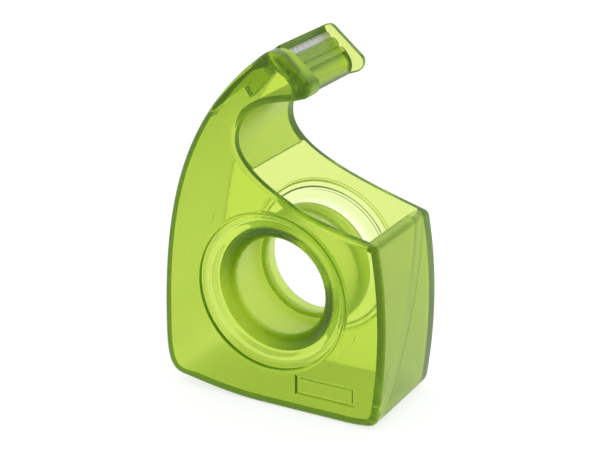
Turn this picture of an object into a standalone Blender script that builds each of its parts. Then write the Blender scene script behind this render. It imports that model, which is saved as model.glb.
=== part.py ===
"""Hand-held tape dispenser: two clear snail-shaped half shells, a steel cutter and its clamp strip.

Metres, +Z up. The origin is on the base, under the middle of the body. +X points to the front wall and
the mouth, -Y to the side of the removable cover. Outlines are in millimetres in the XZ plane, measured
from the hub's axis, and MM turns them into metres.
"""

import math

import bmesh
import bpy
from mathutils import Vector

MM = 0.001

# Driving dimensions, in millimetres
HUB_X = 0.03           # hub axis in front of the origin
HUB_Z = 24.05          # hub axis above the base
HALF_WIDTH = 12.0      # overall half width, at the beads
FACE = 11.8            # flat side faces, to each side of the middle
PLATE_INSIDE = 10.2    # inner faces of the side plates
BACK_WALL = 1.1        # back wall
BASE_WALL = 1.4        # bottom wall
FRONT_WALL = 1.8       # front wall
ARM_WALL = 1.5         # inner wall of the arm
BODY_ROUND = 0.6       # rounding of the body's outer edges
COVER_ROUND = 1.2      # and of the cover's
GAP = 0.3              # clearance between pieces
COLLAR_DEPTH = 7.5     # the cover's collar reaches in to this distance from the middle
THROAT = 10.1          # radius of the finger hole
TUBE_OUTSIDE = 11.2    # the body's inner hub tube
SLEEVE_INSIDE = 11.5   # the cover's outer hub sleeve, which carries the roll's core
SLEEVE_OUTSIDE = 12.6
TUBE_END = 4.4         # y where the body's tube stops
SLEEVE_END = 7.0       # y where the cover's sleeve stops
SEAM_TOP = 8.1         # y of the front wall's slanted seam at its top edge
SEAM_BOTTOM = -10.2    # y of the same seam at the base
SEAM_LAP = 2.2         # how far the cover's outer lap covers the body's inner lap
LAP_THICK = 0.75       # thickness of each lap
CAP_THICK = 2.5        # the cover's cap over the arm's top
FUNNEL_SEAT = 16.5     # radius where the dished rings join the side plates
BLADE_TIP = (0.75, 47.1)
BLADE_LONG = 3.3       # from the tooth tips into the slot
BLADE_THICK = 0.4
TOOTH_PITCH = 1.0
TOOTH_DEEP = 0.7
ROUND_STEPS = 48


def bezier(start, pull_start, pull_end, end, steps):
    """Points of one cubic curve, without its last point."""
    points = []
    for step in range(steps):
        t = step / steps
        a, b, c, d = (1 - t) ** 3, 3 * t * (1 - t) ** 2, 3 * t * t * (1 - t), t ** 3
        x = a * start[0] + b * pull_start[0] + c * pull_end[0] + d * end[0]
        z = a * start[1] + b * pull_start[1] + c * pull_end[1] + d * end[1]
        points.append((x, z))
    return points


def back_edge(steps):
    return bezier((-24.45, -12.2), (-24.45, 16.5), (-18.0, 31.2), (-0.3, 48.0), steps)


def arm_edge(steps):
    return bezier((4.2, 38.75), (-3.7, 37.6), (-7.4, 34.4), (-7.5, 29.9), steps)


def mouth_edge(steps):
    return bezier((-7.5, 29.9), (-7.6, 22.4), (6.8, 18.0), (21.3, 13.8), steps)


def cover_mouth_edge(steps):
    """The cover's mouth edge, which dips a little below the body's."""
    return bezier((-7.5, 29.9), (-7.6, 23.6), (4.7, 16.6), (21.3, 13.8), steps)


def front_edge(steps):
    return bezier((22.75, 12.5), (24.85, 1.5), (24.85, -10.0), (23.3, -21.2), steps)


def bottom_edge(steps):
    """The front bottom corner, the flat base and the rise to the back."""
    points = bezier((23.3, -21.2), (23.1, -22.7), (22.5, -23.4), (21.0, -23.7), steps // 3)
    points += bezier((21.0, -23.7), (19.0, -23.95), (18.0, -24.05), (16.0, -24.05), steps // 3)
    points += [(16.0, -24.05)]
    points += bezier((-3.0, -24.05), (-9.0, -24.0), (-14.0, -23.2), (-19.7, -22.2), steps // 3)
    return points


def back_corner(steps):
    return bezier((-19.7, -22.2), (-23.4, -21.9), (-24.45, -19.6), (-24.45, -12.2), steps)


def head_edge():
    """The top of the head, its slanted front and its round lower corner."""
    points = bezier((-0.3, 48.0), (0.3, 48.5), (1.2, 48.6), (1.9, 48.0), 4)
    points += bezier((1.9, 48.0), (3.9, 46.3), (5.9, 44.6), (7.9, 42.9), 2)
    points += bezier((7.9, 42.9), (8.9, 42.0), (8.4, 40.1), (7.0, 39.6), 5)
    points += [(7.0, 39.6)]
    return points


def front_top_corner():
    return bezier((21.3, 13.8), (22.1, 13.6), (22.6, 13.3), (22.75, 12.5), 3)


def side_outline(mouth):
    """The outline of a side plate with the given mouth edge, clockwise seen from the cover's side."""
    points = back_edge(18) + head_edge() + arm_edge(8) + mouth + front_top_corner()
    points += front_edge(8) + bottom_edge(12) + back_corner(5)
    return points


def inset(points, distance, closed=True):
    """Move each point of a clockwise run of points inwards by distance."""
    moved = []
    count = len(points)
    for i, point in enumerate(points):
        before = points[i - 1] if closed or i else points[i]
        after = points[(i + 1) % count] if closed or i < count - 1 else points[i]
        along = Vector((after[0] - before[0], after[1] - before[1])).normalized()
        moved.append((point[0] + along.y * distance, point[1] - along.x * distance))
    return moved


def circle(radius):
    points = []
    for step in range(ROUND_STEPS):
        angle = -2 * math.pi * step / ROUND_STEPS
        points.append((radius * math.cos(angle), radius * math.sin(angle)))
    return points


def world(x, y, z):
    return Vector(((x + HUB_X) * MM, y * MM, (z + HUB_Z) * MM))


def new_object(name, mesh_data, material=None, origin=(0.0, 0.0, 0.0)):
    """An object whose origin is at a world point, from a bmesh in world coordinates."""
    bmesh.ops.recalc_face_normals(mesh_data, faces=mesh_data.faces)
    bmesh.ops.translate(mesh_data, verts=mesh_data.verts, vec=-Vector(origin))
    mesh = bpy.data.meshes.new(name)
    mesh_data.to_mesh(mesh)
    mesh_data.free()
    thing = bpy.data.objects.new(name, mesh)
    thing.location = origin
    bpy.context.scene.collection.objects.link(thing)
    if material:
        mesh.materials.append(material)
    return thing


def stack(name, points, levels, **options):
    """A solid through copies of one outline: each level is its y and its inset, first to last."""
    mesh_data = bmesh.new()
    rings = []
    for y, distance in levels:
        ring = inset(points, distance) if distance else points
        rings.append([mesh_data.verts.new(world(x, y, z)) for x, z in ring])
    count = len(points)
    for lower, upper in zip(rings, rings[1:]):
        for i in range(count):
            j = (i + 1) % count
            mesh_data.faces.new((lower[i], lower[j], upper[j], upper[i]))
    mesh_data.faces.new(rings[0])
    mesh_data.faces.new(rings[-1])
    return new_object(name, mesh_data, **options)


def turned(name, profile, **options):
    """A ring turned about the hub's axis, from a closed profile of radius and y."""
    mesh_data = bmesh.new()
    rings = []
    for step in range(ROUND_STEPS):
        angle = 2 * math.pi * step / ROUND_STEPS
        ring = []
        for radius, y in profile:
            ring.append(mesh_data.verts.new(world(radius * math.cos(angle), y, radius * math.sin(angle))))
        rings.append(ring)
    count = len(profile)
    for step in range(ROUND_STEPS):
        here = rings[step]
        there = rings[(step + 1) % ROUND_STEPS]
        for i in range(count):
            j = (i + 1) % count
            mesh_data.faces.new((here[i], here[j], there[j], there[i]))
    return new_object(name, mesh_data, **options)


def combine(target, tool, operation):
    """Apply an exact Boolean to target and remove the tool."""
    modifier = target.modifiers.new(operation.lower(), "BOOLEAN")
    modifier.operation = operation
    modifier.object = tool
    modifier.solver = "EXACT"
    bpy.context.view_layer.update()
    evaluated = target.evaluated_get(bpy.context.evaluated_depsgraph_get())
    result = bpy.data.meshes.new_from_object(evaluated)
    target.modifiers.clear()
    target.data = result
    bpy.data.objects.remove(tool)


def cut(target, tool):
    combine(target, tool, "DIFFERENCE")


def join(target, tool):
    combine(target, tool, "UNION")


def make_material(name, colour, roughness, metallic=0.0, transmission=0.0):
    material = bpy.data.materials.new(name)
    material.use_nodes = True
    shader = material.node_tree.nodes["Principled BSDF"]
    shader.inputs["Base Color"].default_value = (*colour, 1.0)
    shader.inputs["Roughness"].default_value = roughness
    shader.inputs["Metallic"].default_value = metallic
    shader.inputs["Transmission Weight"].default_value = transmission
    material.diffuse_color = (*colour, 1.0)
    return material


def funnel_face():
    """The dished ring round the finger hole, as radius and distance from the middle: bead, step, groove, lip."""
    return [
        (16.9, FACE), (16.4, HALF_WIDTH), (15.9, HALF_WIDTH), (15.6, 11.3), (14.9, 11.2), (14.4, 10.9),
        (13.7, 10.7), (13.2, 10.9), (12.4, 11.3), (11.4, 11.1), (10.6, 10.4), (THROAT, 9.4),
    ]


def funnel_inside():
    """The same ring's face towards the roll, from the hub outwards."""
    return [(13.0, 9.6), (14.4, 9.7), (15.6, 9.9), (16.9, PLATE_INSIDE)]


def seam_y(z, shift=0.0):
    """Where the front wall's seam crosses height z."""
    part = (z + 24.05) / (24.05 + 13.8)
    return SEAM_BOTTOM + (SEAM_TOP - SEAM_BOTTOM) * part + shift


def front_layer(name, outer_inset, inner_inset, shift):
    """A layer of the front wall on the cover's side of the seam, between two insets from the outline.

    The layers that are cut out of the body start outside the outline and end a little further back.
    """
    foot = bottom_edge(12)
    run = [(20.4, 13.95)] + front_top_corner() + front_edge(8) + foot[:5]
    if outer_inset:
        run.append((foot[4][0] * 0.7 + foot[5][0] * 0.3, foot[4][1] * 0.7 + foot[5][1] * 0.3))
    outside = inset(run, outer_inset, closed=False) if outer_inset else run
    inside = inset(run, inner_inset, closed=False)
    layer = stack(name, outside + inside[::-1], [(-PLATE_INSIDE - 0.4, 0.0), (15.0, 0.0)])
    low, high = -30.0, 20.0
    mesh_data = bmesh.new()
    corners = []
    for x in (10.0, 30.0):
        for y, z in ((seam_y(low, shift), low), (seam_y(high, shift), high), (40.0, high), (40.0, low)):
            corners.append(mesh_data.verts.new(world(x, y, z)))
    for quad in ((0, 1, 2, 3), (4, 5, 6, 7), (0, 1, 5, 4), (1, 2, 6, 5), (2, 3, 7, 6), (3, 0, 4, 7)):
        mesh_data.faces.new([corners[i] for i in quad])
    cut(layer, new_object("body_side", mesh_data))
    return layer


def blade_frame(down, forward):
    """A point of the head's section, from the tooth tips down the blade and forward of its middle."""
    along = (0.40, -0.9165)
    across = (0.9165, 0.40)
    x = BLADE_TIP[0] + along[0] * down + across[0] * forward
    z = BLADE_TIP[1] + along[1] * down + across[1] * forward
    return (x, z)


def make_body(material):
    """The far side plate with every wall, the nose, the blade seat and the inner hub tube."""
    near = -(PLATE_INSIDE - GAP)
    body = stack("body_half", side_outline(mouth_edge(12)),
                 [(near, 0.0), (FACE - BODY_ROUND, 0.0), (FACE - 0.2, 0.2), (FACE, BODY_ROUND)],
                 material=material)

    # The hollow: inside the walls, up into the arm, and open at the mouth
    hollow = inset(back_edge(18)[2:17], BACK_WALL, closed=False)
    hollow += [(-2.6, 43.9), (-0.3, 43.2), (1.2, 41.9), (3.4, 42.1), (4.3, 41.5), (4.5, 40.9)]
    arm = arm_edge(8) + mouth_edge(14)[:5]
    hollow += inset(arm, ARM_WALL, closed=False)
    hollow += [mouth_edge(14)[4], (6.0, 24.0), (20.6, 20.0)]
    hollow += inset(front_top_corner()[2:] + front_edge(8), FRONT_WALL, closed=False)
    hollow += inset(bottom_edge(12)[3:], BASE_WALL, closed=False)
    hollow += inset(back_corner(5), BACK_WALL, closed=False)
    cut(body, stack("hollow", hollow, [(-15.0, 0.0), (PLATE_INSIDE, 0.0)]))

    # The space in front of the head, which leaves the nose, the blade seat and the far plate
    front = [(-0.7, 50.0), blade_frame(0.0, -0.45), blade_frame(1.25, -0.45), blade_frame(1.25, 0.45),
             blade_frame(4.9, 0.45), blade_frame(4.9, 1.62), blade_frame(3.66, 1.62), (4.5, 43.9),
             (5.4, 42.8), (5.9, 41.7), (6.1, 40.5), (5.8, 39.6), (5.2, 38.0), (12.0, 36.0), (12.0, 50.0)]
    cut(body, stack("front_space", front, [(-15.0, 0.0), (PLATE_INSIDE, 0.0)]))
    slot = [blade_frame(-2.0, -0.35), blade_frame(BLADE_LONG + 0.2, -0.35),
            blade_frame(BLADE_LONG + 0.2, 0.5), blade_frame(-2.0, 0.5)]
    cut(body, stack("blade_slot", slot, [(-15.0, 0.0), (PLATE_INSIDE, 0.0)]))

    # Room for the cover's collar, cap and latch
    cut(body, stack("cap_room", cap_outline(GAP), [(-15.0, 0.0), (GAP - COLLAR_DEPTH, 0.0)]))
    cut(body, stack("collar_room", collar_outline(GAP), [(-15.0, 0.0), (GAP - COLLAR_DEPTH, 0.0)]))
    seat_end = inset(back_edge(18)[14:], BACK_WALL, closed=False) + [(0.9, 46.5), (5.0, 41.0), (-4.0, 41.0)]
    cut(body, stack("seat_end", seat_end, [(-15.0, 0.0), (GAP - COLLAR_DEPTH, 0.0)]))

    # The front wall's share: below the seam, with an inner lap behind the cover's outer lap
    cut(body, front_layer("full_share", -1.0, FRONT_WALL + GAP, GAP - SEAM_LAP / 2))
    cut(body, front_layer("lap_share", -1.0, LAP_THICK + GAP, GAP + SEAM_LAP / 2))

    # The dished ring and the hub tube
    cut(body, stack("bore", circle(FUNNEL_SEAT), [(0.0, 0.0), (20.0, 0.0)]))
    ring = funnel_face() + [(THROAT, TUBE_END), (TUBE_OUTSIDE, TUBE_END), (TUBE_OUTSIDE, 8.4), (11.7, 9.2)]
    join(body, turned("hub_tube", ring + funnel_inside()))
    return body


def collar_outline(clearance):
    """The cover's collar along the head's front edge."""
    head = head_edge()
    if clearance:
        head = inset(head, -1.5, closed=False)
    start = [(-0.6 - clearance, 46.9 + clearance)]
    inside = [(4.4, 38.95), (4.3 - clearance, 41.4), (2.7 - clearance, 43.4), (0.6 - clearance, 45.5)]
    return start + head + inside


def cap_outline(clearance):
    """The cap that runs back from the collar over the arm's top and tapers to a point."""
    run = back_edge(18)[12:] + [(-0.3, 48.0)]
    shares = [0.1, 0.5, 0.75, 0.9, 1.0, 1.0, 1.0]
    inner = [inset(run, CAP_THICK * share + clearance, closed=False)[i] for i, share in enumerate(shares)]
    if not clearance:
        return run + inner[::-1]
    outer = inset(run, -1.5, closed=False)
    return [(outer[0][0] - clearance, outer[0][1] - clearance)] + outer + inner[::-1]


def make_cover(material):
    """The near side plate with the outer hub sleeve, the collar and its share of the front wall."""
    cover = stack("cover_half", side_outline(cover_mouth_edge(12)),
                  [(-FACE, COVER_ROUND), (0.35 - FACE, 0.35), (COVER_ROUND - FACE, 0.0), (-PLATE_INSIDE, 0.0)],
                  material=material, origin=world(0.0, 0.0, 0.0))
    inside = -PLATE_INSIDE - 0.4
    join(cover, stack("collar", collar_outline(0.0), [(inside, 0.0), (-COLLAR_DEPTH, 0.0)]))
    join(cover, stack("cap", cap_outline(0.0), [(inside, 0.0), (-COLLAR_DEPTH, 0.0)]))
    latch = [(-5.4, 39.9), (-4.3, 38.4), (1.6, 43.6), (0.6, 44.9)]
    join(cover, stack("latch", latch, [(inside, 0.0), (-COLLAR_DEPTH, 0.0)]))

    # The front wall's share: above the seam, with an outer lap over the body's inner lap
    join(cover, front_layer("full_share", 0.0, FRONT_WALL, -SEAM_LAP / 2))
    join(cover, front_layer("lap_share", 0.0, LAP_THICK, SEAM_LAP / 2))

    # The dished ring and the hub sleeve
    cut(cover, stack("bore", circle(FUNNEL_SEAT), [(-20.0, 0.0), (0.0, 0.0)]))
    lip = [(THROAT, 8.9), (10.6, 8.1), (SLEEVE_INSIDE, 7.5), (SLEEVE_INSIDE, -SLEEVE_END)]
    ring = funnel_face() + lip + [(SLEEVE_OUTSIDE, -SLEEVE_END), (SLEEVE_OUTSIDE, 9.2)] + funnel_inside()
    join(cover, turned("hub_sleeve", [(radius, -y) for radius, y in ring]))
    return cover


def make_blade(material):
    """A toothed steel strip that stands in the slot behind the clamp."""
    half = BLADE_THICK / 2
    left = GAP - COLLAR_DEPTH + 0.2
    right = PLATE_INSIDE - GAP
    teeth = int((right - left) / TOOTH_PITCH)
    pitch = (right - left) / teeth
    edge = [(left, BLADE_LONG), (left, TOOTH_DEEP)]
    for tooth in range(teeth):
        start = left + tooth * pitch
        edge += [(start + pitch * 0.5, 0.0), (start + pitch, TOOTH_DEEP)]
    edge += [(right, BLADE_LONG)]
    mesh_data = bmesh.new()
    sides = []
    for forward in (-half, half):
        ring = []
        for y, down in edge:
            x, z = blade_frame(down, forward)
            ring.append(mesh_data.verts.new(world(x, y, z)))
        sides.append(ring)
    count = len(edge)
    for i in range(count):
        j = (i + 1) % count
        mesh_data.faces.new((sides[0][i], sides[0][j], sides[1][j], sides[1][i]))
    mesh_data.faces.new(sides[0])
    mesh_data.faces.new(sides[1])
    return new_object("blade", mesh_data, material=material)


def make_clamp(material):
    """The strip with a round rib that wedges the blade into its seat."""
    section = [(1.95, 0.75), (1.9, 0.95), (2.2, 1.2), (2.7, 1.32), (4.6, 1.32), (4.6, 0.75)]
    points = [blade_frame(down, forward) for down, forward in section]
    left = GAP - COLLAR_DEPTH + 0.2
    return stack("blade_clamp", points, [(left, 0.0), (PLATE_INSIDE - GAP, 0.0)], material=material)


def main():
    for thing in list(bpy.data.objects):
        bpy.data.objects.remove(thing)
    lime = make_material("lime_clear_plastic", (0.40, 0.62, 0.05), 0.15, transmission=0.6)
    deep_lime = make_material("lime_clamp_plastic", (0.25, 0.48, 0.05), 0.2, transmission=0.6)
    steel = make_material("cutter_steel", (0.60, 0.60, 0.57), 0.35, metallic=1.0)
    make_body(lime)
    make_cover(lime)
    make_blade(steel)
    make_clamp(deep_lime)
    for thing in bpy.data.objects:
        thing.data.shade_smooth()
        thing.data.set_sharp_from_angle(angle=math.radians(35))


main()
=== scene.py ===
import math

import bmesh
import bpy
from mathutils import Matrix, Vector


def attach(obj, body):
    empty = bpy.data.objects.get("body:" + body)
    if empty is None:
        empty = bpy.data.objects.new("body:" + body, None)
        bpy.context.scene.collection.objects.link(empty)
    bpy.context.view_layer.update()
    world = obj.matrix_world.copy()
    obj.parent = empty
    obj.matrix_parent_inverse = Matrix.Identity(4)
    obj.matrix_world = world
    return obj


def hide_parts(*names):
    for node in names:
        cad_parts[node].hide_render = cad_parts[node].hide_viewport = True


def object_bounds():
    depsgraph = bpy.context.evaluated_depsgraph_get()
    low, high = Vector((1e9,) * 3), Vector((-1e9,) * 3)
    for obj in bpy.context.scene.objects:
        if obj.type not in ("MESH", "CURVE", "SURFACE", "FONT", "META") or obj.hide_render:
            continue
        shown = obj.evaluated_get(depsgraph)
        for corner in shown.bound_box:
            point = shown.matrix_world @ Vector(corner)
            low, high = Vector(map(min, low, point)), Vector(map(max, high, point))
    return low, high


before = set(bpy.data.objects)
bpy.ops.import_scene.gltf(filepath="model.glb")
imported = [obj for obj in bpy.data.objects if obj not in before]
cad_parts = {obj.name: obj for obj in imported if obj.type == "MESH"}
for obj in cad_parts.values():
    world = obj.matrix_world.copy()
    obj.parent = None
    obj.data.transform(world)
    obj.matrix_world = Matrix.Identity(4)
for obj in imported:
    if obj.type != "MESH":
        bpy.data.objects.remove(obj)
cadLow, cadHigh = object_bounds()
print("frame loaded:", ", ".join(sorted(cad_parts)))

mm = 0.001
mergeDistance = 0.002      # points closer than this become one
outside = 15.0             # a level past either side of the object, for cuts that go right through

# Every outline below is in millimetres, seen from the cover's side and measured from the hub's axis,
# and a level's y is measured from the middle, with the cover on the negative side.
shell = {
    "hubBehind": 24.45,   # hub axis in front of the hindmost point
    "hubHeight": 24.05,   # hub axis above the base
    "plate": 1.6,         # side plates
    "backWall": 1.0,
    "baseWall": 1.3,
    "frontWall": 1.8,
    "armWall": 1.3,       # inner wall of the arm
    "rim": 0.2,           # how far the beads stand above the flat side faces
    "bodyEdge": 0.6,      # rounding of the body's outer edges
    "coverEdge": 1.15,    # and of the cover's
    "cove": 0.5,          # rounding inside, where walls meet the side plates
    "gap": 0.1,           # air between the pieces
    "root": 0.4,          # how far what joins the cover's plate reaches into it
    "collarDepth": 7.5,   # the cover's collar reaches in to this distance from the middle
}
hub = Vector((cadLow.x + shell["hubBehind"] * mm, 0.0, cadLow.z + shell["hubHeight"] * mm))
halfWidth = (cadHigh.y - cadLow.y) / 2 / mm
face = halfWidth - shell["rim"]
inside = face - shell["plate"]

outline = {               # start, two pulls and end of each curve, and how many steps it gets
    "back": ((-24.45, -12.2), (-24.45, 12.6), (-20.3, 33.5), (-0.3, 48.0), 54),
    "headTop": ((-0.3, 48.0), (0.3, 48.5), (1.2, 48.6), (1.9, 48.0), 8),
    "headFront": ((1.9, 48.0), (3.9, 46.3), (5.9, 44.6), (7.9, 42.9), 4),
    "coverHeadTop": ((-1.39, 47.19), (-0.6, 47.75), (1.0, 48.0), (2.75, 47.28), 10),
    "coverHeadFront": ((2.75, 47.28), (4.4, 45.9), (6.2, 44.35), (7.9, 42.9), 4),
    "headRound": ((7.9, 42.9), (8.9, 42.0), (8.4, 40.1), (7.0, 39.6), 12),
    "chin": ((7.0, 39.6), (6.1, 39.3), (5.2, 39.0), (4.2, 38.75), 3),
    "arm": ((4.2, 38.75), (-3.7, 37.6), (-7.4, 34.4), (-7.5, 29.9), 26),
    "mouth": ((-7.5, 29.9), (-7.6, 22.4), (6.8, 18.0), (21.3, 13.8), 36),
    "coverMouth": ((-7.5, 29.9), (-7.6, 23.6), (4.7, 16.6), (21.3, 13.8), 36),
    "frontTop": ((21.3, 13.8), (22.1, 13.6), (22.6, 13.3), (22.75, 12.5), 8),
    "front": ((22.75, 12.5), (24.84, 1.5), (24.84, -10.0), (23.3, -21.2), 24),
    "frontFoot": ((23.3, -21.2), (23.1, -22.7), (22.5, -23.4), (21.0, -23.7), 8),
    "toe": ((21.0, -23.7), (19.0, -23.95), (18.0, -24.05), (16.0, -24.05), 5),
    "base": ((16.0, -24.05), (9.0, -24.05), (3.0, -24.05), (-3.0, -24.05), 5),
    "heel": ((-3.0, -24.05), (-9.0, -24.0), (-14.0, -23.2), (-19.7, -22.2), 12),
    "backFoot": ((-19.7, -22.2), (-23.4, -21.9), (-24.45, -19.6), (-24.45, -12.2), 16),
}


def curveRun(start, pullStart, pullEnd, end, steps):      # all but the last point
    points = []
    for step in range(steps):
        t = step / steps
        a, b, c, d = (1 - t) ** 3, 3 * t * (1 - t) ** 2, 3 * t * t * (1 - t), t ** 3
        x = a * start[0] + b * pullStart[0] + c * pullEnd[0] + d * end[0]
        z = a * start[1] + b * pullStart[1] + c * pullEnd[1] + d * end[1]
        points.append((x, z))
    return points


def edge(*names):
    points = []
    for name in names:
        points += curveRun(*outline[name])
    return points


def sideOutline(cover):      # all round a side plate; the cover's head is lower and its mouth dips more
    if cover:
        points = edge("back")[:-1] + edge("coverHeadTop", "coverHeadFront")
        points += edge("headRound", "chin", "arm", "coverMouth")
    else:
        points = edge("back", "headTop", "headFront", "headRound", "chin", "arm", "mouth")
    return points + edge("frontTop", "front", "frontFoot", "toe", "base", "heel", "backFoot")


def through(points, steps):      # a smooth open run through the given points
    run = []
    last = len(points) - 1
    for i in range(last):
        before, here = points[max(i - 1, 0)], points[i]
        there, after = points[i + 1], points[min(i + 2, last)]
        pullHere = [here[k] + (there[k] - before[k]) / 6 for k in (0, 1)]
        pullThere = [there[k] - (after[k] - here[k]) / 6 for k in (0, 1)]
        run += curveRun(here, pullHere, pullThere, there, steps)
    return run + [points[-1]]


def crossing(a, b, c, d):      # the point where ab crosses cd, or None
    turn = (b[0] - a[0]) * (d[1] - c[1]) - (b[1] - a[1]) * (d[0] - c[0])
    if abs(turn) < 1e-12:
        return None
    u = ((c[0] - a[0]) * (d[1] - c[1]) - (c[1] - a[1]) * (d[0] - c[0])) / turn
    v = ((c[0] - a[0]) * (b[1] - a[1]) - (c[1] - a[1]) * (b[0] - a[0])) / turn
    if 0 <= u <= 1 and 0 <= v <= 1:
        return (a[0] + u * (b[0] - a[0]), a[1] + u * (b[1] - a[1]))
    return None


def inset(points, distance, closed=True):      # a clockwise run moved inwards
    moved = []
    count = len(points)
    for i, point in enumerate(points):
        if closed or i:
            before = Vector(point) - Vector(points[i - 1])
        else:
            before = Vector(points[1]) - Vector(point)
        after = Vector(points[(i + 1) % count]) - Vector(point) if closed or i < count - 1 else before
        before, after = before.normalized(), after.normalized()
        reach = distance / max(0.6, 1 + before.dot(after))
        moved.append((point[0] + (before.y + after.y) * reach, point[1] - (before.x + after.x) * reach))
    for i in range(count):      # loops at tight corners are drawn together where they cross
        for span in range(30, 1, -1):
            if span > count - 3 or (not closed and i + span + 1 >= count):
                continue
            a, b, c, d = i, (i + 1) % count, (i + span) % count, (i + span + 1) % count
            meeting = crossing(moved[a], moved[b], moved[c], moved[d])
            if meeting:
                for k in range(i + 1, i + span + 1):
                    moved[k % count] = meeting
                break
    return moved


def arc(centreX, centreZ, radius, startDeg, endDeg, steps):
    points = []
    for step in range(steps + 1):
        angle = math.radians(startDeg + (endDeg - startDeg) * step / steps)
        points.append((centreX + radius * math.cos(angle), centreZ + radius * math.sin(angle)))
    return points


def roundedLevels(yFace, side, radius, steps=6):      # over a flat face's rounded edge; side is +1 or -1
    levels = []
    for step in range(steps + 1):
        angle = math.radians(90 * step / steps)
        levels.append((yFace + side * radius * (1 - math.cos(angle)), radius * (1 - math.sin(angle))))
    return levels


def newPiece(name, meshData):
    bmesh.ops.remove_doubles(meshData, verts=meshData.verts, dist=mergeDistance)
    bmesh.ops.recalc_face_normals(meshData, faces=meshData.faces)
    mesh = bpy.data.meshes.new(name)
    meshData.to_mesh(mesh)
    meshData.free()
    piece = bpy.data.objects.new(name, mesh)
    bpy.context.scene.collection.objects.link(piece)
    return piece


def stackSolid(name, points, levels):      # copies of one outline, each level being its y and its inset
    meshData = bmesh.new()
    rings = []
    for y, distance in levels:
        ring = inset(points, distance) if distance else points
        rings.append([meshData.verts.new((x, y, z)) for x, z in ring])
    count = len(points)
    for lower, upper in zip(rings, rings[1:]):
        for i in range(count):
            j = (i + 1) % count
            meshData.faces.new((lower[i], lower[j], upper[j], upper[i]))
    meshData.faces.new(rings[0])
    meshData.faces.new(rings[-1])
    return newPiece(name, meshData)


def turnedRing(name, profile, steps):      # a closed profile of radius and y, turned about the hub's axis
    meshData = bmesh.new()
    rings = []
    for step in range(steps):
        angle = 2 * math.pi * step / steps
        across, up = math.cos(angle), math.sin(angle)
        rings.append([meshData.verts.new((r * across, y, r * up)) for r, y in profile])
    count = len(profile)
    for step in range(steps):
        here, there = rings[step], rings[(step + 1) % steps]
        for i in range(count):
            j = (i + 1) % count
            meshData.faces.new((here[i], here[j], there[j], there[i]))
    return newPiece(name, meshData)


def combine(target, tool, operation):
    modifier = target.modifiers.new(operation.lower(), "BOOLEAN")
    modifier.operation = operation
    modifier.object = tool
    modifier.solver = "EXACT"
    bpy.context.view_layer.update()
    evaluated = target.evaluated_get(bpy.context.evaluated_depsgraph_get())
    result = bpy.data.meshes.new_from_object(evaluated)
    target.modifiers.clear()
    target.data = result
    bpy.data.objects.remove(tool)


def cut(target, tool):
    combine(target, tool, "DIFFERENCE")


def join(target, tool):
    combine(target, tool, "UNION")


# The slanted seam of the front wall

seam = {
    "top": 8.1,           # y at the mouth
    "bottom": -10.2,      # y at the base
    "lap": 2.2,           # how far the cover's outer lap covers the body's inner lap
    "thick": 0.8,         # thickness of each lap
    "wallStart": (20.4, 13.93),     # where the wall and the lap leave the mouth
    "lapStart": (20.55, 13.93),
    "cutEnd": (20.6, -23.76),
}


def seamY(z):
    mouthEnd = outline["mouth"][3][1]
    share = (z + shell["hubHeight"]) / (shell["hubHeight"] + mouthEnd)
    return seam["bottom"] + (seam["top"] - seam["bottom"]) * share


# A layer of the front wall between two insets, on the cover's side of the seam.
def frontLayer(outerInset, innerInset, shift):
    start = seam["wallStart"] if innerInset > 1 else seam["lapStart"]
    run = [start] + edge("frontTop", "front", "frontFoot")
    if outerInset < 0:      # the part cut from the body ends a little further back
        run.append(seam["cutEnd"])
    outer = inset(run, outerInset, closed=False)
    inner = inset(run, innerInset, closed=False)
    layer = stackSolid("layer", outer + inner[::-1], [(-inside - shell["root"], 0.0), (outside, 0.0)])
    low, high, far = -30.0, 20.0, 40.0      # a block past the wall's ends and past the body's side
    slanted = ((seamY(low) + shift, low), (seamY(high) + shift, high), (far, high), (far, low))
    meshData = bmesh.new()
    corners = []
    for x in (10.0, 30.0):
        for y, z in slanted:
            corners.append(meshData.verts.new((x, y, z)))
    for quad in ((0, 1, 2, 3), (4, 5, 6, 7), (0, 1, 5, 4), (1, 2, 6, 5), (2, 3, 7, 6), (3, 0, 4, 7)):
        meshData.faces.new([corners[i] for i in quad])
    cut(layer, newPiece("bodySide", meshData))
    return layer


# The dished ring round the finger hole

ring = {
    "throat": 10.1,
    "tubeOut": 11.2,      # the body's inner tube
    "tubeEnd": 4.4,
    "sleeveIn": 11.5,     # the cover's outer sleeve
    "sleeveOut": 12.6,
    "sleeveEnd": -7.0,    # past the middle
    "endRound": 0.2,      # rounding of both tubes' open ends
    "tubeFillet": 0.9,    # where each tube meets the dish
    "sleeveFillet": 0.6,
    "plateIn": 9.58,      # the dish's inner face
    "lipRadius": 3.4,
    "lipY": 7.2,
    "seat": 16.45,        # where the ring meets the side plate
    "steps": 160,
}


def ringFace():      # bead, step, groove and lip, as radius and distance from the middle
    lipCentre = ring["throat"] + ring["lipRadius"]
    bead = [(ring["seat"], face + 0.05), (16.3, halfWidth - 0.03), (16.1, halfWidth)]
    slope = [(15.9, halfWidth - 0.04), (15.78, 11.7), (15.7, 11.35), (15.55, 11.2)]
    ledge = [(15.1, 11.16), (14.86, 11.1), (14.74, 10.9), (14.66, 10.6)]
    groove = [(14.5, 10.46), (14.35, 10.45)]
    lip = arc(lipCentre, ring["lipY"], ring["lipRadius"], 77, 180, 22)
    return through(bead + slope + ledge + groove, 3) + lip


def ringInside():
    return through([(13.2, ring["plateIn"]), (14.4, 9.7), (15.6, 9.95), (ring["seat"], inside - 0.06)], 4)


def tubeMouth(inner, outer, end):      # the two rounded edges of a tube's open end
    turn = ring["endRound"]
    points = arc(inner + turn, end + turn, turn, 180, 270, 3)
    return points + arc(outer - turn, end + turn, turn, 270, 360, 3)


def ringBore():      # the round opening that the ring is set into
    return arc(0.0, 0.0, ring["seat"] - 0.15, 360, 0, ring["steps"])[:-1]


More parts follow.
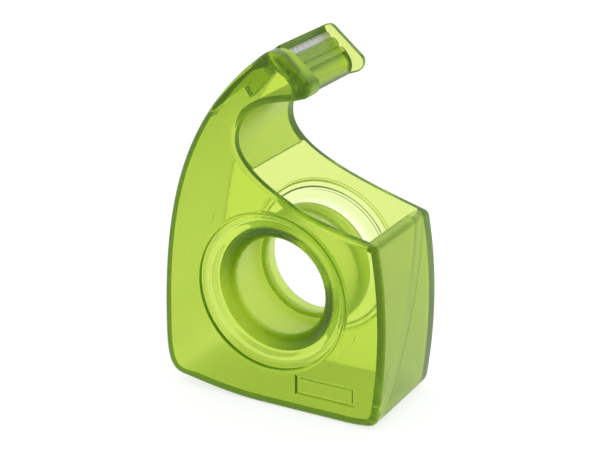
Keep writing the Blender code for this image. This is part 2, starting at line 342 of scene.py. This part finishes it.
def hubTube():
    fillet = ring["tubeFillet"]
    profile = ringFace() + tubeMouth(ring["throat"], ring["tubeOut"], ring["tubeEnd"])
    profile += arc(ring["tubeOut"] + fillet, ring["plateIn"] - fillet, fillet, 180, 90, 5)
    return profile + ringInside()


def hubSleeve():
    fillet = ring["sleeveFillet"]
    widening = [(10.14, 6.8), (10.35, 6.4), (10.8, 6.0), (11.25, 5.7), (ring["sleeveIn"], 5.3)]
    profile = ringFace() + widening + tubeMouth(ring["sleeveIn"], ring["sleeveOut"], ring["sleeveEnd"])
    profile += arc(ring["sleeveOut"] + fillet, ring["plateIn"] - fillet, fillet, 180, 90, 4)
    return profile + ringInside()


# The head: cutter seat, nose, collar and cap

head = {
    "tip": (0.75, 47.1),        # the cutter's tooth tips
    "down": (0.40, -0.9165),    # down the cutter's plane
    "bladeLong": 3.3,
    "bladeThick": 0.4,
    "toothPitch": 0.85,
    "toothDeep": 0.65,
    "capThick": 2.5,
    "capFrom": 0.71,            # where the cap starts, as a share of the back's run
    "capEnd": (-0.85, 47.3),
    "cutPast": 1.5,             # how far the rooms cut for cap and collar reach past the outline
    "latch": [(-5.7, 40.1), (-4.5, 38.3), (-0.4, 43.0), (-1.6, 44.1)],
    "seatBehind": -0.3,         # the cutter's seat and the clamp's room, forward of the cutter's middle
    "seatForward": 0.45,
    "roomForward": 1.62,
    "slotBehind": -0.28,        # the slot for the cutter's own thickness
    "slotForward": 0.5,
    "endGap": 0.4,              # from the collar's end to the cutter and the clamp
}


def headPoint(down, forward):      # from the tooth tips down the cutter and forward of its middle
    along = head["down"]
    x = head["tip"][0] + along[0] * down - along[1] * forward
    z = head["tip"][1] + along[1] * down + along[0] * forward
    return (x, z)


def capOutline(clearance):      # from the collar back over the arm's top, tapered to a point
    whole = edge("back")
    first = int(len(whole) * head["capFrom"])
    run = whole[first:-1] + [outline["coverHeadTop"][0], head["capEnd"]]
    inner = []
    for i in range(len(run)):
        share = min(1.0, 0.05 + 1.35 * (i / (len(run) - 1)) ** 0.7)
        inner.append(inset(run, head["capThick"] * share + clearance, closed=False)[i])
    if not clearance:
        return run + inner[::-1]
    outer = inset(run, -head["cutPast"], closed=False)
    return [(outer[0][0] - clearance, outer[0][1] - clearance)] + outer + inner[::-1]


def collarOutline(clearance):
    run = edge("coverHeadTop", "coverHeadFront", "headRound") + [outline["headRound"][3]]
    if clearance:
        run = inset(run, -head["cutPast"], closed=False)
    start = [(-0.6 - clearance, 46.9 + clearance)]
    behind = [(4.3 - clearance, 41.4), (2.7 - clearance, 43.4), (0.6 - clearance, 45.5)]
    return start + run + [(4.4, 38.95)] + behind


# The body: far side, walls, nose and inner tube

def hollowOutline():      # inside the walls, and open where the tape leaves at the mouth
    back = edge("back")
    points = inset(back[5:int(len(back) * 0.93)], shell["backWall"], closed=False)
    underSeat = [(-2.6, 43.9), (-0.3, 43.2), (1.2, 42.3), (2.6, 42.3)]
    points += through(underSeat + [(3.6, 42.0), (4.3, 41.4), (4.5, 40.9)], 3)
    mouth = edge("mouth")
    points += inset(edge("arm") + mouth[:11], shell["armWall"], closed=False)
    points += [mouth[10], (6.0, 24.0), (20.6, 20.0)]
    front = edge("frontTop")[5:] + edge("front", "frontFoot")[:-3]
    points += inset(front, shell["frontWall"], closed=False)
    points += inset(edge("toe", "base", "heel"), shell["baseWall"], closed=False)
    return points + inset(edge("backFoot"), shell["backWall"], closed=False)


def frontSpace():      # the open room in front of the cutter's seat and under the nose
    behind, forward, room = head["seatBehind"], head["seatForward"], head["roomForward"]
    points = [(-0.9, 50.0), headPoint(0.0, behind), headPoint(0.8, behind), headPoint(0.8, forward)]
    points += [headPoint(4.9, forward), headPoint(4.9, room)]
    nose = [(4.5, 43.9), (5.4, 42.8), (5.95, 41.7), (6.1, 40.5), (5.8, 39.6)]
    points += through([headPoint(3.66, room)] + nose, 4)
    return points + [(5.2, 38.0), (12.0, 36.0), (12.0, 50.0)]


def bladeSlot():
    behind, forward, foot = head["slotBehind"], head["slotForward"], head["bladeLong"] + 0.1
    corners = ((-2.0, behind), (foot, behind), (foot, forward), (-2.0, forward))
    return [headPoint(*corner) for corner in corners]


def seatEnd():      # between the cap and the collar, where the cutter's seat stops
    back = edge("back")
    points = inset(back[int(len(back) * 0.78):], shell["backWall"], closed=False)
    return points + [(0.9, 46.5), (5.0, 41.0), (-4.0, 41.0)]


def makeBody():
    near = -(inside - shell["gap"])
    levels = [(near, 0.0)] + roundedLevels(face, -1, shell["bodyEdge"])[::-1]
    body = stackSolid("body_shell", sideOutline(False), levels)
    coves = roundedLevels(inside, -1, shell["cove"], 4)[::-1]
    cut(body, stackSolid("hollow", hollowOutline(), [(-outside, 0.0)] + coves))
    cut(body, stackSolid("bore", ringBore(), [(0.0, 0.0), (outside, 0.0)]))
    join(body, turnedRing("hubTube", hubTube(), ring["steps"]))

    throughSeat = [(-outside, 0.0), (inside, 0.0)]
    cut(body, stackSolid("frontSpace", frontSpace(), throughSeat))
    cut(body, stackSolid("bladeSlot", bladeSlot(), throughSeat))
    toCollar = [(-outside, 0.0), (shell["gap"] - shell["collarDepth"], 0.0)]
    cut(body, stackSolid("capRoom", capOutline(shell["gap"]), toCollar))
    cut(body, stackSolid("collarRoom", collarOutline(shell["gap"]), toCollar))
    cut(body, stackSolid("seatEnd", seatEnd(), toCollar))

    cut(body, frontLayer(-1.0, shell["frontWall"] + 0.3, shell["gap"] - seam["lap"] / 2))
    cut(body, frontLayer(-1.0, seam["thick"] + shell["gap"], shell["gap"] + seam["lap"] / 2))
    return body


# The cover: near side, sleeve, collar, cap and its share of the front wall

marks = {
    "frame": (5.5, 18.5, -20.2, -16.0),      # the blank recessed frame: x from and to, z from and to
    "frameDeep": 0.7,
    "grooveWide": 0.7,      # the groove round the frame's pad
    "arrowIn": 18.2,
    "arrowOut": 19.3,
    "arrowHigh": 0.06,
}


def frameOutline(inward):
    left, right, low, high = marks["frame"]
    left, right, low, high = left + inward, right - inward, low + inward, high - inward
    return [(left, high), (right, high), (right, low), (left, low)]


def arrowOutline(turn):      # a slim curved arrow round the hub; turn is 0 or 180 degrees
    inner, outer = marks["arrowIn"], marks["arrowOut"]
    tail, neck, barb, tip = (turn + degrees for degrees in (166, 136, 137, 130))
    points = arc(0.0, 0.0, outer, tail, neck, 14)
    for radius, degrees in ((outer + 0.6, barb), ((inner + outer) / 2, tip), (inner - 0.6, barb)):
        points += arc(0.0, 0.0, radius, degrees, degrees, 1)[:1]
    return points + arc(0.0, 0.0, inner, neck, tail, 14)


def makeCover():
    levels = roundedLevels(-face, 1, shell["coverEdge"])
    levels += [(-inside - 0.15, 0.0), (-inside - 0.04, 0.04), (-inside, 0.15)]
    cover = stackSolid("cover_shell", sideOutline(True), levels)
    cut(cover, stackSolid("bore", ringBore(), [(-outside, 0.0), (0.0, 0.0)]))
    join(cover, turnedRing("hubSleeve", [(r, -y) for r, y in hubSleeve()], ring["steps"]))
    rootToCollar = [(-inside - shell["root"], 0.0), (-shell["collarDepth"], 0.0)]
    join(cover, stackSolid("collar", collarOutline(0.0), rootToCollar))
    join(cover, stackSolid("cap", capOutline(0.0), rootToCollar))
    join(cover, stackSolid("latch", head["latch"], rootToCollar))
    # Each layer is a hair further in than the one before, so that no two faces coincide.
    join(cover, frontLayer(0.01, shell["frontWall"], -seam["lap"] / 2))
    join(cover, frontLayer(0.02, seam["thick"], seam["lap"] / 2))

    deep = marks["frameDeep"]
    pocketLevels = [(-outside, 0.0), (deep * 0.3 - face, 0.0), (deep - face, deep * 0.25)]
    cut(cover, stackSolid("pocket", frameOutline(0.0), pocketLevels))
    padLevels = [(0.08 - face, 0.15), (0.2 - face, 0.0), (deep - face + 0.2, 0.0)]
    join(cover, stackSolid("pad", frameOutline(marks["grooveWide"]), padLevels))
    for turn in (0, 180):
        arrowLevels = [(-face - marks["arrowHigh"], 0.14), (0.06 - face, 0.0)]
        join(cover, stackSolid("arrow", arrowOutline(turn), arrowLevels))
    return cover


# The toothed cutter and the strip that clamps it

def makeCutter():
    half = head["bladeThick"] / 2
    left = head["endGap"] - shell["collarDepth"]
    right = inside - shell["gap"]
    teeth = round((right - left) / head["toothPitch"])
    pitch = (right - left) / teeth
    deep = head["toothDeep"]
    edgeRun = [(left, head["bladeLong"]), (left, deep)]
    for tooth in range(teeth):      # each with a small flat tip
        start = left + tooth * pitch
        edgeRun += [(start + pitch * 0.45, 0.02), (start + pitch * 0.55, 0.02), (start + pitch, deep)]
    edgeRun += [(right, head["bladeLong"])]
    meshData = bmesh.new()
    sides = []
    for forward in (-half, half):
        row = []
        for y, down in edgeRun:
            # The teeth are ground thin towards their tips, on the front only.
            ground = 0.8 * max(0.0, 1 - down / deep) if forward > 0 else 0.0
            x, z = headPoint(down, forward * (1 - ground))
            row.append(meshData.verts.new((x, y, z)))
        sides.append(row)
    count = len(edgeRun)
    for i in range(count):
        j = (i + 1) % count
        meshData.faces.new((sides[0][i], sides[0][j], sides[1][j], sides[1][i]))
    meshData.faces.new(sides[0])
    meshData.faces.new(sides[1])
    return newPiece("cutter_blade", meshData)


def makeClamp():
    bulge = [(1.5, 0.3), (1.45, 0.6), (1.75, 0.95), (2.2, 1.25), (2.8, 1.4), (3.2, 1.35)]
    foot = [(3.5, 1.25), (4.7, 1.25), (4.7, 0.55), (3.3, 0.3)]
    section = through([headPoint(*point) for point in bulge], 3) + [headPoint(*point) for point in foot]
    left, right, worn = head["endGap"] - shell["collarDepth"], inside - shell["gap"], 0.08
    levels = [(left, worn), (left + worn, 0.0), (right - worn, 0.0), (right, worn)]
    return stackSolid("clamp_strip", section, levels)


# Finishes

plastic = {
    "tint": (0.795, 0.858, 0.24),      # colour that the plastic lets through, with the density below
    "density": 1020.0,
    "ior": 1.49,
    "roughLow": 0.05,
    "roughHigh": 0.12,
    # painted shade on the reflections: tints them green and cuts their blue, standing in for darker
    # studio surroundings
    "reflectionShadeTint": (0.85, 0.95, 0.35),
    "roughWall": 0.32,                   # walls and tubes are matt inside
    "paintedScatterGlow": (0.015, 0.032, 0.002),       # painted glow: a faint even emission that stands for the light the plastic scatters inside
    "swirlScale": 90.0,                  # slow flow marks of the moulding
    "wearScale": 900.0,                  # handling wear in the polish
    "bumpDeep": 0.00008,
    "shellTone": (0.94, 0.98, 0.86),     # surface tone of the two halves and of the clamp
    "clampTone": (0.90, 0.96, 0.80),
}
steel = {
    "colour": (0.62, 0.63, 0.60),
    "grainAlong": 40.0,
    "grainAcross": 1600.0,
    "dark": 0.72,           # the darkest grain, as a share of the colour
    "roughLow": 0.22,
    "roughHigh": 0.5,
    "bumpDeep": 0.00003,
}


def newMaterial(name):
    material = bpy.data.materials.new(name)
    material.use_nodes = True
    nodes, links = material.node_tree.nodes, material.node_tree.links
    return material, nodes, links, nodes["Principled BSDF"]


def limePlastic(name, tone):
    material, nodes, links, shader = newMaterial(name)
    shader.inputs["Transmission Weight"].default_value = 1.0
    shader.inputs["IOR"].default_value = plastic["ior"]
    # Painted shade on the reflections: the specular tint greens them and dims their blue, standing in for
    # darker surroundings.
    shader.inputs["Specular Tint"].default_value = (*plastic["reflectionShadeTint"], 1.0)
    place3d = nodes.new("ShaderNodeTexCoord")
    swirl = nodes.new("ShaderNodeTexNoise")
    swirl.inputs["Scale"].default_value = plastic["swirlScale"]
    swirl.inputs["Detail"].default_value = 3.0
    links.new(place3d.outputs["Object"], swirl.inputs["Vector"])
    tint = nodes.new("ShaderNodeMix")
    tint.data_type = "RGBA"
    tint.inputs[6].default_value = (*tone, 1.0)      # a colour mix has its colours in sockets 6 and 7
    tint.inputs[7].default_value = (1.0, 1.0, 0.96, 1.0)
    links.new(swirl.outputs["Fac"], tint.inputs["Factor"])
    links.new(tint.outputs[2], shader.inputs["Base Color"])
    wear = nodes.new("ShaderNodeTexNoise")
    wear.inputs["Scale"].default_value = plastic["wearScale"]
    wear.inputs["Detail"].default_value = 6.0
    links.new(place3d.outputs["Object"], wear.inputs["Vector"])
    rough = nodes.new("ShaderNodeMapRange")
    rough.inputs["From Min"].default_value = 0.35
    rough.inputs["From Max"].default_value = 0.75
    rough.inputs["To Min"].default_value = plastic["roughLow"]
    rough.inputs["To Max"].default_value = plastic["roughHigh"]
    links.new(wear.outputs["Fac"], rough.inputs["Value"])
    facing = nodes.new("ShaderNodeSeparateXYZ")
    links.new(place3d.outputs["Normal"], facing.inputs["Vector"])
    flat = nodes.new("ShaderNodeMath")
    flat.operation = "ABSOLUTE"
    links.new(facing.outputs["Y"], flat.inputs[0])
    matt = nodes.new("ShaderNodeMapRange")      # from the flat sides to the walls
    matt.inputs["From Min"].default_value = 0.75
    matt.inputs["From Max"].default_value = 0.25
    links.new(flat.outputs["Value"], matt.inputs["Value"])
    finish = nodes.new("ShaderNodeMix")
    links.new(matt.outputs["Result"], finish.inputs["Factor"])
    links.new(rough.outputs["Result"], finish.inputs[2])
    finish.inputs[3].default_value = plastic["roughWall"]
    links.new(finish.outputs[0], shader.inputs["Roughness"])
    # Painted glow: every plastic surface gives off a faint green light, standing in for light scattered
    # inside the plastic.
    shader.inputs["Emission Color"].default_value = (*plastic["paintedScatterGlow"], 1.0)
    shader.inputs["Emission Strength"].default_value = 1.0
    bump = nodes.new("ShaderNodeBump")
    bump.inputs["Strength"].default_value = 0.25
    bump.inputs["Distance"].default_value = plastic["bumpDeep"]
    links.new(swirl.outputs["Fac"], bump.inputs["Height"])
    links.new(bump.outputs["Normal"], shader.inputs["Normal"])
    depth = nodes.new("ShaderNodeVolumeAbsorption")      # thicker plastic is darker
    depth.inputs["Color"].default_value = (*plastic["tint"], 1.0)
    depth.inputs["Density"].default_value = plastic["density"]
    links.new(depth.outputs["Volume"], nodes["Material Output"].inputs["Volume"])
    return material


def cutterSteel():
    material, nodes, links, shader = newMaterial("cutter_steel")
    shader.inputs["Metallic"].default_value = 1.0
    place3d = nodes.new("ShaderNodeTexCoord")
    stretch = nodes.new("ShaderNodeMapping")
    along, across = steel["grainAlong"], steel["grainAcross"]
    stretch.inputs["Scale"].default_value = (along, across, along)
    links.new(place3d.outputs["Object"], stretch.inputs["Vector"])
    grain = nodes.new("ShaderNodeTexNoise")      # grinding lines that run down the strip
    grain.inputs["Scale"].default_value = 1.0
    grain.inputs["Detail"].default_value = 4.0
    links.new(stretch.outputs["Vector"], grain.inputs["Vector"])
    ramp = nodes.new("ShaderNodeValToRGB")
    darkEnd, lightEnd = ramp.color_ramp.elements
    darkEnd.position = 0.3
    darkEnd.color = tuple(steel["dark"] * c for c in steel["colour"]) + (1.0,)
    lightEnd.position = 0.7
    lightEnd.color = (*steel["colour"], 1.0)
    links.new(grain.outputs["Fac"], ramp.inputs["Fac"])
    links.new(ramp.outputs["Color"], shader.inputs["Base Color"])
    rough = nodes.new("ShaderNodeMapRange")
    rough.inputs["To Min"].default_value = steel["roughLow"]
    rough.inputs["To Max"].default_value = steel["roughHigh"]
    links.new(grain.outputs["Fac"], rough.inputs["Value"])
    links.new(rough.outputs["Result"], shader.inputs["Roughness"])
    bump = nodes.new("ShaderNodeBump")
    bump.inputs["Strength"].default_value = 0.3
    bump.inputs["Distance"].default_value = steel["bumpDeep"]
    links.new(grain.outputs["Fac"], bump.inputs["Height"])
    links.new(bump.outputs["Normal"], shader.inputs["Normal"])
    return material


# Put together

def finishPiece(piece, material, body, node):
    smoothBelow = math.radians(40)
    piece.data.materials.clear()
    piece.data.materials.append(material)
    meshData = bmesh.new()
    meshData.from_mesh(piece.data)
    bmesh.ops.remove_doubles(meshData, verts=meshData.verts, dist=mergeDistance)
    inPlace = Matrix.Translation(hub) @ Matrix.Scale(mm, 4)
    bmesh.ops.transform(meshData, matrix=inPlace, verts=meshData.verts)
    meshData.to_mesh(piece.data)
    meshData.free()
    piece.data.shade_smooth()
    piece.data.set_sharp_from_angle(angle=smoothBelow)
    weight = piece.modifiers.new("weight", "WEIGHTED_NORMAL")
    weight.keep_sharp = True
    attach(piece, body)
    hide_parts(node)
    print("made", piece.name, len(piece.data.polygons), "faces")


limeShell = limePlastic("lime_shell", plastic["shellTone"])
limeClamp = limePlastic("lime_clamp", plastic["clampTone"])
finishPiece(makeBody(), limeShell, "body", "body_half")
finishPiece(makeCover(), limeShell, "cover", "cover_half")
finishPiece(makeCutter(), cutterSteel(), "body", "blade")
finishPiece(makeClamp(), limeClamp, "body", "blade_clamp")


# Floor, light and camera

stageSet = {
    "floorSize": 6.0,
    "floorDrop": 0.00005,   # below the object's base, in metres like the rest of this list
    "floorColour": (0.42, 0.42, 0.42),
    "floorGlow": 0.70,
    "skyStrength": 1.0,
    "azimuth": 28.57,       # degrees round from the cover's side
    "elevation": 20.76,
    "distance": 0.329,
    "aim": (-0.0014, 0.0030, 0.0330),
    "lens": 99.6,
}


def makeFloor():
    meshData = bmesh.new()
    half = stageSet["floorSize"] / 2
    height = cadLow.z - stageSet["floorDrop"]
    square = ((-half, -half), (half, -half), (half, half), (-half, half))
    meshData.faces.new([meshData.verts.new((x, y, height)) for x, y in square])
    floor = newPiece("floor", meshData)
    material, nodes, links, shader = newMaterial("pale_floor")
    shader.inputs["Base Color"].default_value = (*stageSet["floorColour"], 1.0)
    shader.inputs["Roughness"].default_value = 0.9
    shader.inputs["Specular IOR Level"].default_value = 0.0
    shader.inputs["Emission Color"].default_value = (1.0, 1.0, 1.0, 1.0)
    shader.inputs["Emission Strength"].default_value = stageSet["floorGlow"]
    floor.data.materials.append(material)


def makeLight():
    world = bpy.data.worlds.new("studio")
    bpy.context.scene.world = world
    world.use_nodes = True
    background = world.node_tree.nodes["Background"]
    background.inputs["Color"].default_value = (1.0, 1.0, 1.0, 1.0)
    background.inputs["Strength"].default_value = stageSet["skyStrength"]


def makeCamera():
    azimuth, elevation = math.radians(stageSet["azimuth"]), math.radians(stageSet["elevation"])
    level = math.cos(elevation)
    back = Vector((math.sin(azimuth) * level, -math.cos(azimuth) * level, math.sin(elevation)))
    camera = bpy.data.objects.new("camera", bpy.data.cameras.new("camera"))
    bpy.context.scene.collection.objects.link(camera)
    camera.location = Vector(stageSet["aim"]) + back * stageSet["distance"]
    camera.rotation_mode = "QUATERNION"
    camera.rotation_quaternion = (-back).to_track_quat("-Z", "Y")
    camera.data.lens = stageSet["lens"]
    camera.data.sensor_width = 36.0
    camera.data.clip_start = 0.01
    camera.data.clip_end = 20.0
    bpy.context.scene.camera = camera


makeFloor()
makeLight()
makeCamera()
scene = bpy.context.scene
scene.view_settings.view_transform = "Standard"
scene.cycles.max_bounces = 32
scene.cycles.transmission_bounces = 32
scene.cycles.glossy_bounces = 8
scene.cycles.sample_clamp_indirect = 0.0
print("stage ready")
